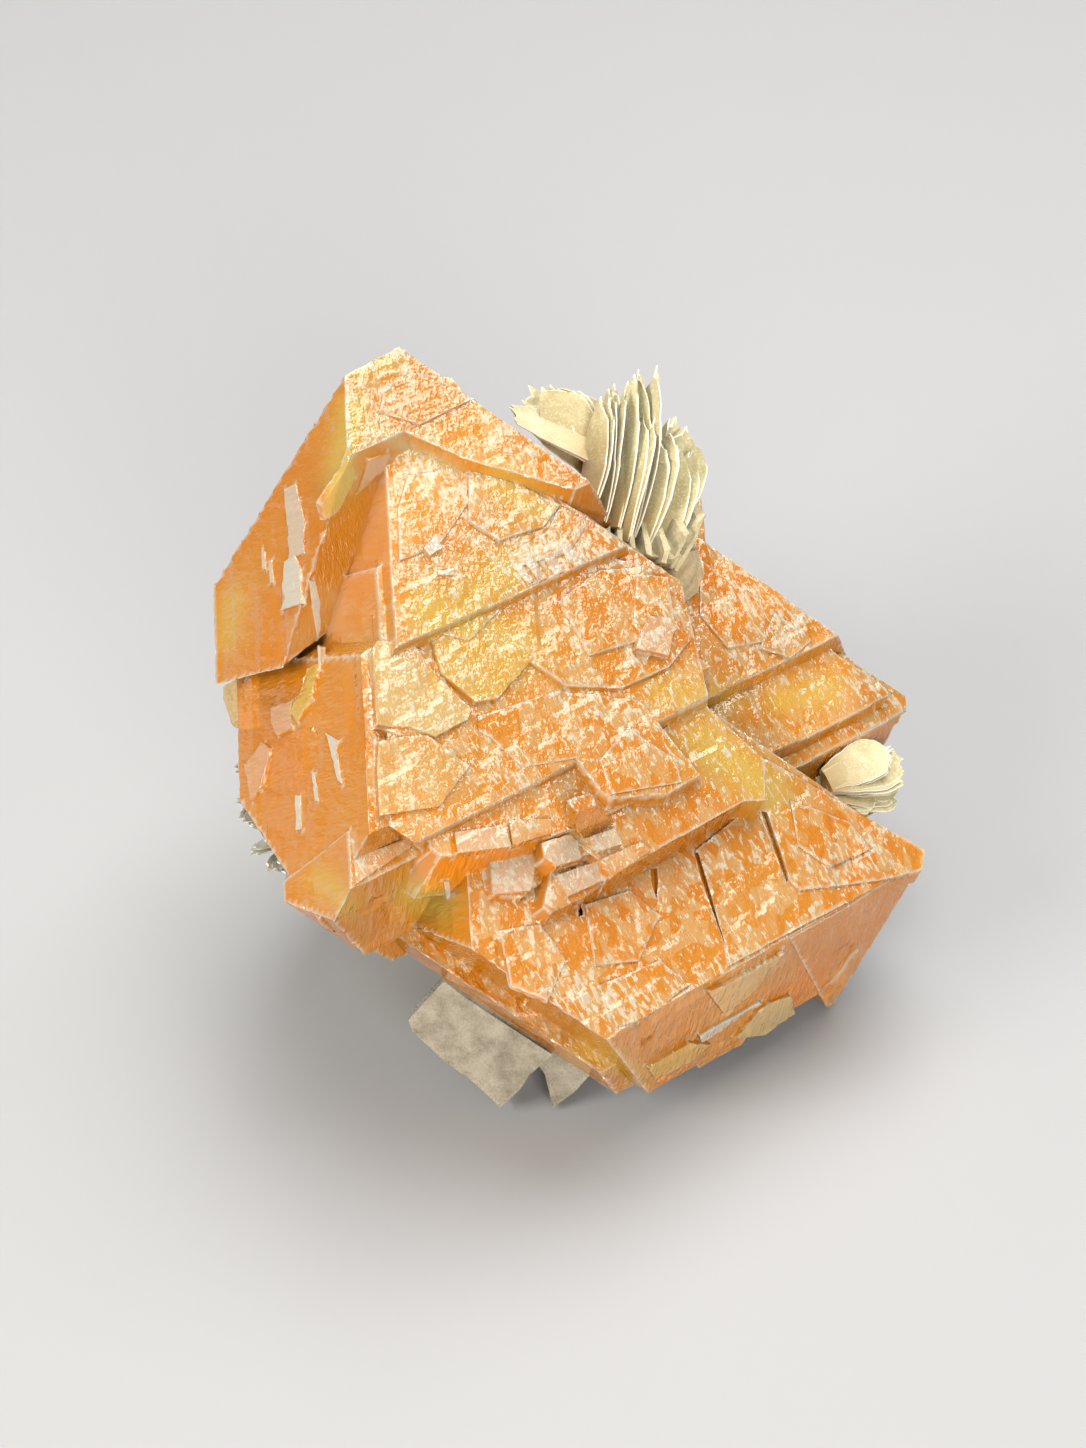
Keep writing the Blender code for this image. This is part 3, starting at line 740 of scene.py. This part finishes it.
# %% Amber
DEEP_ORANGE, ORANGE, PEACH = (1.0, 0.29, 0.005), (1.0, 0.42, 0.04), (1.0, 0.56, 0.2)
# The gold paints a glow where light comes out of the crystal; straw is a paler amber
PAINTED_GLOW_GOLD, STRAW = (1.0, 0.66, 0.12), (0.97, 0.76, 0.34)
# Painted light: a sparkle of glints on etched faces, and a highlight on sharp edges and bright
# tiles
PAINTED_SPARKLE, PAINTED_HIGHLIGHT_COLOUR = (1.0, 0.85, 0.6), (1.0, 0.93, 0.76)
CRYSTAL_AXES = (ALONG_LOW, FRONT.cross(ALONG_LOW).normalized(), FRONT)
amber = Recipe("amber")
etch = amber.attribute("etched")
mottle = amber.noise(amber.places(CRYSTAL_AXES, (1.5, 1.0, 1)), 1.1, 2.0, 0.7, flat=True)
hatch = amber.noise(amber.places(CRYSTAL_AXES, (3.0, 0.9, 1)), 1.0, 1.0, 0.6, flat=True)
flakes = amber.add(
    "ShaderNodeTexVoronoi", {"Vector": amber.places(CRYSTAL_AXES, (1.4, 1, 1)), "Scale": 0.75},
    feature="F1", voronoi_dimensions="2D").outputs["Color"]
marks = amber.maths("MULTIPLY_ADD", flakes, 0.12, amber.maths("MULTIPLY", mottle, hatch))
# The patches of painted glints raise the sum, so more marks turn into painted sparkle there
glint = amber.maths("MULTIPLY_ADD", amber.attribute("painted_glints"), 0.13, marks)
painted_sparkle = amber.maths("MULTIPLY", etch, amber.ramp(glint, (0.4, 0.0), (0.47, 1.0)))
base = amber.blend(amber.attribute("tone"), DEEP_ORANGE, ORANGE)
veil = amber.maths("MULTIPLY", etch, amber.ramp(flakes, (0.35, 0.0), (0.65, 0.85)))
base = amber.blend(veil, base, PEACH)
# A painted golden glow where light comes out of the crystal
base = amber.blend(amber.attribute("painted_glow"), base, PAINTED_GLOW_GOLD)
base = amber.blend(amber.attribute("pale"), base, STRAW)
# A painted sparkle: glints laid into the base colour of etched faces
base = amber.blend(amber.maths("MULTIPLY", painted_sparkle, 0.95), base, PAINTED_SPARKLE)
# A painted highlight on sharp edges and on bright tiles
base = amber.blend(amber.maths("MULTIPLY", amber.attribute("painted_highlight"), 0.95), base, PAINTED_HIGHLIGHT_COLOUR)
amber.set(Base_Color=base, Transmission_Weight=0.6, IOR=1.92, Specular_IOR_Level=0.22)
rough = amber.maths("MULTIPLY_ADD", etch, 0.1, 0.05)
amber.set(Roughness=amber.maths("MULTIPLY_ADD", painted_sparkle, 0.22, rough))
amber.bump(mottle, 0.6, 0.2)
inside = amber.add("ShaderNodeVolumeAbsorption", {"Color": (0.98, 0.72, 0.05, 1), "Density": 40.0})
amber.link(inside.outputs[0], amber.output.inputs["Volume"])
print("amber:", len(amber.tree.nodes), "nodes")
own_piece(crystals, amber.material, "scheelite", "scheelite")

# %% [markdown]
# ## The mica: a body, books and fans
# Behind the amber stands muscovite, a mica. It splits into leaves, and it grows in two ways here:
# thick books that lean on each other, and fans of thin leaves that open like a hand of cards. A
# book and a fan both follow a rule, so one Geometry Nodes tree makes each leaf from its number.


# %% Geometry Nodes helpers
class Tree(Nodes):
    """A Geometry Nodes tree."""

    def __init__(self, name):
        self.tree = bpy.data.node_groups.new(name, "GeometryNodeTree")
        self.tree.interface.new_socket("Leaf", in_out="INPUT", socket_type="NodeSocketGeometry")
        self.tree.interface.new_socket("Fan", in_out="OUTPUT", socket_type="NodeSocketGeometry")
        self.start = self.tree.nodes.new("NodeGroupInput")
        self.end = self.tree.nodes.new("NodeGroupOutput")

    def along(self, low, high, share):
        """A number between two others, by the leaf's place in the fan."""
        node = self.add("ShaderNodeMapRange", {"Value": share, "To Min": low, "To Max": high})
        return node.outputs[0]

    def chance(self, low, high, index, seed):
        """A number between two others that differs from leaf to leaf."""
        node = self.add("FunctionNodeRandomValue", {"ID": index, "Seed": seed}, data_type="FLOAT")
        for title, value in (("Min", low), ("Max", high)):
            places = [i for i in node.inputs if i.name == title and i.type == "VALUE"]
            self.link(value, places[0])
        return [o for o in node.outputs if o.type == "VALUE" and o.enabled][0]


# %% The fan tree
def fan_tree():
    """Copies a leaf so that the copies turn, step and grow from the first place to the last."""
    made = Tree("mica_fan")
    keys = {}
    for name, kind in (
        ("Leaves", "Int"), ("First turn", "Float"), ("Last turn", "Float"),
        ("First swing", "Float"), ("Last swing", "Float"), ("Step", "Float"),
        ("Wobble", "Float"), ("Small", "Float"), ("Seed", "Int"), ("Finish", "Material"),
    ):
        keys[name] = made.tree.interface.new_socket(
            name, in_out="INPUT", socket_type="NodeSocket" + kind).identifier
    put = made.start.outputs
    row = made.add("GeometryNodeMeshLine", {"Count": put["Leaves"]})
    index = made.add("GeometryNodeInputIndex").outputs[0]
    share = made.maths("DIVIDE", index, made.maths("SUBTRACT", put["Leaves"], 1.0))
    seed, wobble = put["Seed"], put["Wobble"]
    less = made.maths("MULTIPLY", wobble, -1.0)
    tip = made.chance(less, wobble, index, seed)
    roll = made.chance(less, wobble, index, made.maths("ADD", seed, 7.0))
    size = made.chance(put["Small"], 1.0, index, made.maths("ADD", seed, 13.0))
    turn = made.maths("ADD", made.along(put["First turn"], put["Last turn"], share), roll)
    swing = made.maths("ADD", made.along(put["First swing"], put["Last swing"], share), roll)
    spin = made.add("ShaderNodeCombineXYZ", {"X": turn, "Y": tip, "Z": swing}).outputs[0]
    step = made.maths("MULTIPLY", index, put["Step"])
    place = made.add("ShaderNodeCombineXYZ", {"Z": step}).outputs[0]
    moved = made.add("GeometryNodeSetPosition", {"Geometry": row.outputs[0], "Position": place})
    copies = made.add("GeometryNodeInstanceOnPoints", {
        "Points": moved.outputs[0], "Instance": put["Leaf"], "Rotation": spin, "Scale": size})
    whole = made.add("GeometryNodeRealizeInstances", {"Geometry": copies.outputs[0]})
    finish = made.add("GeometryNodeSetMaterial", {"Geometry": whole.outputs[0],
                                                  "Material": put["Finish"]})
    made.link(finish.outputs[0], made.end.inputs[0])
    return made.tree, keys


FAN, FAN_KEYS = fan_tree()
print("fan inputs:", sorted(FAN_KEYS))


# %% [markdown]
# A single leaf lies flat along +X from its base: a rounded sheet a sixth of a millimetre thick with
# a wavy face and an uneven edge. It is thinner at its rim than in its middle, as where a sheet of
# mica has split away.


# %% One leaf
THIN = 0.17 * MM
COLUMNS = (-1, -0.93, -0.7, -0.3, 0.3, 0.7, 0.93, 1)
ROWS = 14


def leaf_mesh(name, length, width, seed, blunt):
    """A thin closed leaf along +X: two skins that meet at an uneven rim. Blunt 5 is round."""
    rng = random.Random(seed)
    bm = bmesh.new()
    at_rim, at_foot = (bm.verts.layers.float.new(title) for title in ("rim", "foot"))
    waves = [rng.uniform(-1, 1) for _ in range(4)]
    right, end = len(COLUMNS) - 1, ROWS
    skins = []
    for side in (-1, 1):
        grid = []
        for i in range(ROWS + 1):
            reach = 1 - (1 - i / ROWS) ** 1.7
            spread = (0.5 + 0.9 * reach - 0.4 * reach**2) * max(0.0, 1 - reach**blunt) ** 0.5
            line = []
            for j, across in enumerate(COLUMNS):
                edge = 1 + 0.11 * noise.noise(Vector((reach * 6 + seed, across * 2, seed * 0.7)))
                edge += 0.04 * noise.noise(Vector((reach * 21 + seed, across * 5, seed * 0.3)))
                x = length * reach * edge * (1 - 0.05 * across**2 * reach)
                y = width * 0.5 * across * max(0.1, spread) * edge
                bow = 0.06 * width * (waves[0] * across * reach + waves[1] * reach**2
                                      + 0.7 * waves[2] * math.sin(reach * 5 + waves[3])
                                      + 0.5 * waves[3] * across**2)
                on_rim = j in (0, right) or i == end
                bow += side * THIN * (0.3 if on_rim else 0.5)
                vert = bm.verts.new((x, y, bow))
                vert[at_rim] = 1.0 if on_rim else 0.0
                vert[at_foot] = max(0.0, 0.9 - 1.6 * reach)
                line.append(vert)
            grid.append(line)
        skins.append(grid)
    for side, grid in enumerate(skins):
        for i in range(ROWS):
            for j in range(right):
                quad = (grid[i][j], grid[i + 1][j], grid[i + 1][j + 1], grid[i][j + 1])
                bm.faces.new(quad if side else quad[::-1])
    loop = [(i, 0) for i in range(ROWS)] + [(end, j) for j in range(right)]
    loop += [(i, right) for i in range(ROWS, 0, -1)] + [(0, j) for j in range(right, 0, -1)]
    for a, b in zip(loop, loop[1:] + loop[:1]):
        low, high = skins
        bm.faces.new((low[a[0]][a[1]], low[b[0]][b[1]], high[b[0]][b[1]], high[a[0]][a[1]]))
    return mesh_object(name, bm)


def spread_copies(leaf, name, numbers):
    """Runs the fan tree on a leaf and returns the plain mesh of all its copies."""
    spread = leaf.modifiers.new("fan", "NODES")
    spread.node_group = FAN
    for key, value in numbers.items():
        spread[FAN_KEYS[key]] = value
    made = evaluated_copy(leaf, name)
    bpy.data.objects.remove(leaf, do_unlink=True)
    return made


def stand(body, base, along, facing):
    """Puts a mesh made flat at the origin in its place: X along, Z to where its faces look."""
    along = along.normalized()
    normal = (facing - along * facing.dot(along)).normalized()
    pose = Matrix((along, normal.cross(along), normal)).transposed().to_4x4()
    pose.translation = base
    body.data.transform(pose)
    return body


def behind(pixel, depth):
    """The point seen at that pixel, that many millimetres behind the middle of the front face."""
    return EYE + sight(pixel) * (FOCAL_PIXELS * PIXEL + depth * MM) + FLOOR_SHIFT


def leaf_stack(name, base, tip, turn, width, blunt, seed, up=0.0, sheets=3, step=0.24):
    """A few sheets between two seen points, each a pixel and a depth in millimetres.

    A turn of 0 degrees faces the viewer, and 90 faces the left.
    """
    foot, end = behind(*base), behind(*tip)
    leaf = leaf_mesh(name + "_leaf", (end - foot).length, width * MM, seed, blunt)
    made = spread_copies(leaf, name, {
        "Leaves": sheets, "First turn": -0.07, "Last turn": 0.07, "First swing": -0.05,
        "Last swing": 0.05, "Step": step * MM, "Wobble": 0.03, "Small": 0.92, "Seed": seed,
        "Finish": mica})
    turn = math.radians(turn)
    return stand(made, foot, end - foot,
                 TOWARDS * math.cos(turn) - RIGHT * math.sin(turn) + UP * up)


def leaf_stacks(title, table, seed, **more):
    """A stack for each line of a table."""
    return [leaf_stack(f"{title}_{i}", *numbers, seed + i, **more)
            for i, numbers in enumerate(table)]


def together(name, bodies):
    """One mesh object of several."""
    bm = bmesh.new()
    for body in bodies:
        bm.from_mesh(body.data)
        bpy.data.objects.remove(body, do_unlink=True)
    return body_of(name, bm)


# %% [markdown]
# ## The finish of mica
# Mica is pearly: light slips between its leaves and comes back soft. The leaves are pale cream with
# a breath of green, with a painted white highlight at their edges, brown at the foot where they
# leave the rock, and have fine lines where sheets end. Only the two grey plates are a little clear.
# The leaves are not, because the fan looked dark with it. The numbers rim and foot come from each
# leaf's mesh.


# %% Mica finishes
# The rim colour is a painted white highlight along the leaves' edges
LINE_CREAM, RIM_HIGHLIGHT_WHITE, FOOT_BROWN = (0.76, 0.73, 0.56), (0.96, 0.94, 0.84), (0.42, 0.27, 0.08)


def mica_finish(name, pale, deep, rough, clear, lines):
    """A pearly finish in two tones, with fine lines, a painted white highlight on the rims and
    brown feet.
    """
    recipe = Recipe(name)
    clouds = recipe.noise(recipe.places(), 0.55, 4.0, 0.6)
    fibres = recipe.noise(recipe.places((RIGHT, TOWARDS, UP), (5.0, 5.0, 0.7)), 0.9, 3.0, 0.6)
    base = recipe.blend(recipe.ramp(clouds, (0.35, 0.0), (0.65, 1.0)), deep, pale)
    base = recipe.blend(recipe.ramp(fibres, (0.5, 0.0), (0.66, lines)), base, LINE_CREAM)
    base = recipe.blend(recipe.attribute("foot"), base, FOOT_BROWN)
    # A painted highlight along the rims of the leaves
    base = recipe.blend(recipe.maths("MULTIPLY", recipe.attribute("rim"), 0.85), base, RIM_HIGHLIGHT_WHITE)
    recipe.set(Base_Color=base, Roughness=recipe.maths("MULTIPLY_ADD", fibres, 0.3, rough),
               IOR=1.58, Transmission_Weight=clear, Sheen_Weight=0.1)
    recipe.bump(recipe.maths("MULTIPLY_ADD", clouds, 0.5, fibres), 0.35, 0.12)
    print(name + ":", len(recipe.tree.nodes), "nodes")
    return recipe.material


mica = mica_finish("mica", (0.6, 0.54, 0.3), (0.48, 0.4, 0.19), 0.25, 0.0, 0.5)
grey_mica = mica_finish("grey_mica", (0.42, 0.37, 0.28), (0.24, 0.2, 0.14), 0.14, 0.3, 0.12)
# A lighter copy of the mica for the leaves under the crystals: painted light against their shade
mica_painted_lighter = mica_finish("mica_painted_lighter", (0.95, 0.92, 0.8), (0.85, 0.8, 0.62), 0.25, 0.0, 0.2)
rock_mica = mica_finish("rock_mica", (0.56, 0.48, 0.28), (0.38, 0.3, 0.15), 0.3, 0.0, 0.3)

# %% [markdown]
# ## The upright rosette
# The leaves in the middle stand nearly edge-on to the viewer, like the pages of a book left open,
# each a little behind the one at its left. The last ones at the right turn to show their faces,
# and at the left a few petals lie back.

# %% Upright rosette
TOP_LEAVES = [
    # base pixel and depth, tip pixel and depth, turn, width, bluntness
    (((586, 516), 12.5), ((610, 402), 12.5), 62, 4.6, 3.0),
    (((600, 522), 12.8), ((621, 390), 12.9), 60, 5.0, 2.4),
    (((612, 528), 13.1), ((632, 376), 13.2), 58, 5.4, 2.4),
    (((625, 536), 13.8), ((655, 366), 13.8), 50, 6.4, 3.0),
    (((622, 542), 12.4), ((650, 414), 12.4), 60, 4.6, 3.5),
    (((636, 550), 13.5), ((662, 424), 13.5), 46, 5.8, 5.0),
    (((650, 554), 15.5), ((686, 424), 15.5), 12, 6.8, 6.0),
    (((652, 562), 14.2), ((683, 448), 14.2), 32, 5.6, 4.5),
]
PETALS = [
    (((604, 462), 14.0), ((505, 403), 15.6), -25, 3.6, 5.0),
    (((607, 464), 14.8), ((548, 386), 15.6), 30, 4.6, 5.0),
    (((607, 474), 15.8), ((583, 392), 16.0), -15, 4.4, 4.0),
    (((606, 474), 15.0), ((614, 386), 15.2), 45, 3.4, 2.4),
    (((600, 474), 16.6), ((524, 394), 17.6), 15, 4.2, 5.0),
]
rosette = leaf_stacks("top", TOP_LEAVES, 40, sheets=2, step=0.3)
rosette += leaf_stacks("petal", PETALS, 48, up=0.5, sheets=2, step=0.3)
own_piece(together("mica_rosette_top", rosette), mica, "mica_matrix")

# %% [markdown]
# ## The rosette at the right and the leaves at the left edge
# The right rosette lies open like a shell, one leaf over the next. At the left edge only the tips
# of some leaves come out from under the crystals, so these stacks start far behind. They get a
# lighter copy of the mica finish, painted light that lifts them out of the crystals' shade.

# %% Side rosettes
RIGHT_LEAVES = [
    (((826, 782), 21.6), ((892, 750), 24.5), -5, 4.6, 5.0),
    (((826, 784), 21.4), ((903, 768), 25.0), 0, 4.2, 5.0),
    (((824, 788), 21.8), ((904, 785), 25.0), 10, 4.0, 4.0),
    (((824, 792), 21.6), ((897, 798), 24.5), -10, 3.8, 4.0),
    (((826, 795), 21.8), ((878, 807), 23.5), 5, 3.8, 5.0),
]
LEFT_LEAVES = [
    (((345, 770), 30), ((236, 768), 13.2), 30, 4.2, 4.0),
    (((345, 790), 30), ((238, 806), 13.2), -12, 4.4, 4.0),
    (((350, 800), 30), ((249, 832), 12.6), -25, 4.2, 4.0),
    (((355, 810), 30), ((258, 858), 12.6), 25, 4.4, 4.0),
    (((360, 820), 30), ((279, 882), 12.6), -5, 4.2, 4.0),
]
right_leaves = leaf_stacks("right", RIGHT_LEAVES, 60, up=0.5)
left_leaves = leaf_stacks("left", LEFT_LEAVES, 70, up=0.6, sheets=4)
# These leaves take the lighter copy of the mica: painted light where the crystals shade them
own_piece(together("mica_leaves_left", left_leaves), mica_painted_lighter, "mica_matrix")

# %% [markdown]
# ## The body of the mica
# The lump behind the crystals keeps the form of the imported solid, without the thick leaves that
# the fans now replace. Its surface is cut into a net and roughened, and stacks of sheets lean on
# it where the solid has its books, so that their edges show the layers.


# %% Body of the mica
def block(name, low, high):
    """A box between two corners in millimetres."""
    bm = bmesh.new()
    bmesh.ops.create_cube(bm, size=1)
    for v in bm.verts:
        v.co = Vector([(a if c < 0 else b) * MM for a, b, c in zip(low, high, v.co)])
    return mesh_object(name, bm)


def roughened(body, name, spacing, depth, grain):
    """The body cut into a net, with its points moved in by uneven amounts."""
    bm = bmesh.new()
    bm.from_mesh(body.data)
    bpy.data.objects.remove(body, do_unlink=True)
    bmesh.ops.remove_doubles(bm, verts=bm.verts, dist=TOUCHING)
    net(bm, [(Vector(v), spacing * MM) for v in ((1, 0.2, 0.1), (-0.2, 1, 0.15), (0.1, -0.1, 1))])
    bm.normal_update()
    for vert in bm.verts:
        steps = math.floor(4 * noise.noise(vert.co / MM * grain) + 2) / 4
        dent = 0.6 * abs(noise.noise(vert.co / MM * 0.9)) + 0.4 * max(0.0, steps)
        if vert.co.z > 0.15 * MM:
            vert.co -= vert.normal * depth * MM * min(1.0, dent)
            vert.co.z = max(vert.co.z, 0.02 * MM)
    return mesh_object(name, bm)


body = merged_copy("mica_matrix", "mica_body")
body = combine(body, [block("above", (-12, 4, 36.8), (22, 40, 60)),
                      block("beside", (-40, -20, -2), (-23, 40, 60))], "DIFFERENCE")
body = roughened(body, "mica_body", 0.9, 0.35, 0.35)
own_piece(body, rock_mica, "mica_matrix", "mica_matrix")

# %% Books of sheets
SHEETS, CORNERS = 7, 9
BOOKS = [
    # centre, the way the sheets face, radius, thickness
    ((-14, 14, -22), (0.3, -0.4, 0.9), 8, 2.2), ((-15, 18, -30), (0.2, 0.5, 0.8), 7, 2.4),
    ((-16, 12, -16), (0.5, 0.5, 0.7), 6.5, 1.8), ((-15, 22, -14), (-0.3, 0.2, 0.9), 7, 2.0),
    ((-8, 28, -10), (0.7, -0.2, 0.6), 7, 2.2), ((-6, 29, -20), (-0.5, 0.3, 0.8), 8, 2.6),
    ((2, 30, -28), (0.2, -0.5, 0.8), 7.5, 2.4), ((6, 30, -14), (0.8, 0.3, 0.5), 7, 2.0),
    ((14, 26, -18), (-0.4, 0.5, 0.8), 7.5, 2.4), ((17, 18, -26), (0.5, 0.2, 0.8), 6.5, 2.2),
    ((13, 24, -30), (0.1, 0.6, 0.8), 6.5, 2.4), ((-2, 27, -6), (0.9, 0.2, 0.3), 6, 1.8),
    ((3, 30, -21), (0.2, 0.9, 0.4), 6, 1.8), ((-11, 25, -26), (0.8, -0.5, 0.3), 6.5, 2.0),
    ((11, 28, -24), (0.9, 0.4, -0.2), 6, 2.0),
]
stacks = []
for i, (centre, normal, radius, thick) in enumerate(BOOKS):
    rng = random.Random(60 + i)
    outline = []
    for corner in range(CORNERS):
        angle = corner * math.tau / CORNERS
        reach = radius * MM * rng.uniform(0.86, 1.02)
        outline.append(Vector((math.cos(angle) * reach, math.sin(angle) * reach, 0)))
    half = Vector((0, 0, thick * MM / SHEETS * 0.4))
    sheet = prism(f"sheet_{i}", [p - half for p in outline], [p + half for p in outline])
    stack = spread_copies(sheet, f"book_{i}", {
        "Leaves": SHEETS, "Step": thick * MM / SHEETS, "Wobble": 0.03, "Small": 0.86,
        "Seed": 60 + i, "Finish": mica})
    stack.data.transform(Matrix.Translation((0, 0, -thick * MM * 0.5)))
    facing = Vector(normal).normalized()
    stand(stack, Vector(centre) * MM + FLOOR_SHIFT, facing.orthogonal(), facing)
    stacks.append(stack)
books = together("mica_books", stacks)
for vert in books.data.vertices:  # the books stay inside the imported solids' box
    vert.co.z = max(vert.co.z, 0.05 * MM)
    vert.co.y = min(vert.co.y, cad_box[1][1] - 0.1 * MM)
own_piece(books, mica, "mica_matrix")

# %% Right rosette
lump = combine(merged_copy("mica_right", "lump"),
               [block("past", (25.2, 0, 0), (40, 20, 20))], "DIFFERENCE")
own_piece(together("mica_rosette_right", right_leaves + [lump]), mica, "mica_right", "mica_right")

# %% [markdown]
# ## The two plates under the lower edge
# These are greyer than the rest, clear enough to look like frosted window glass, with layers that
# end in small steps.

# %% Front plates
plates = roughened(merged_copy("mica_front", "plates"), "mica_plates", 0.6, 0.09, 0.4)
own_piece(plates, grey_mica, "mica_front", "mica_front")
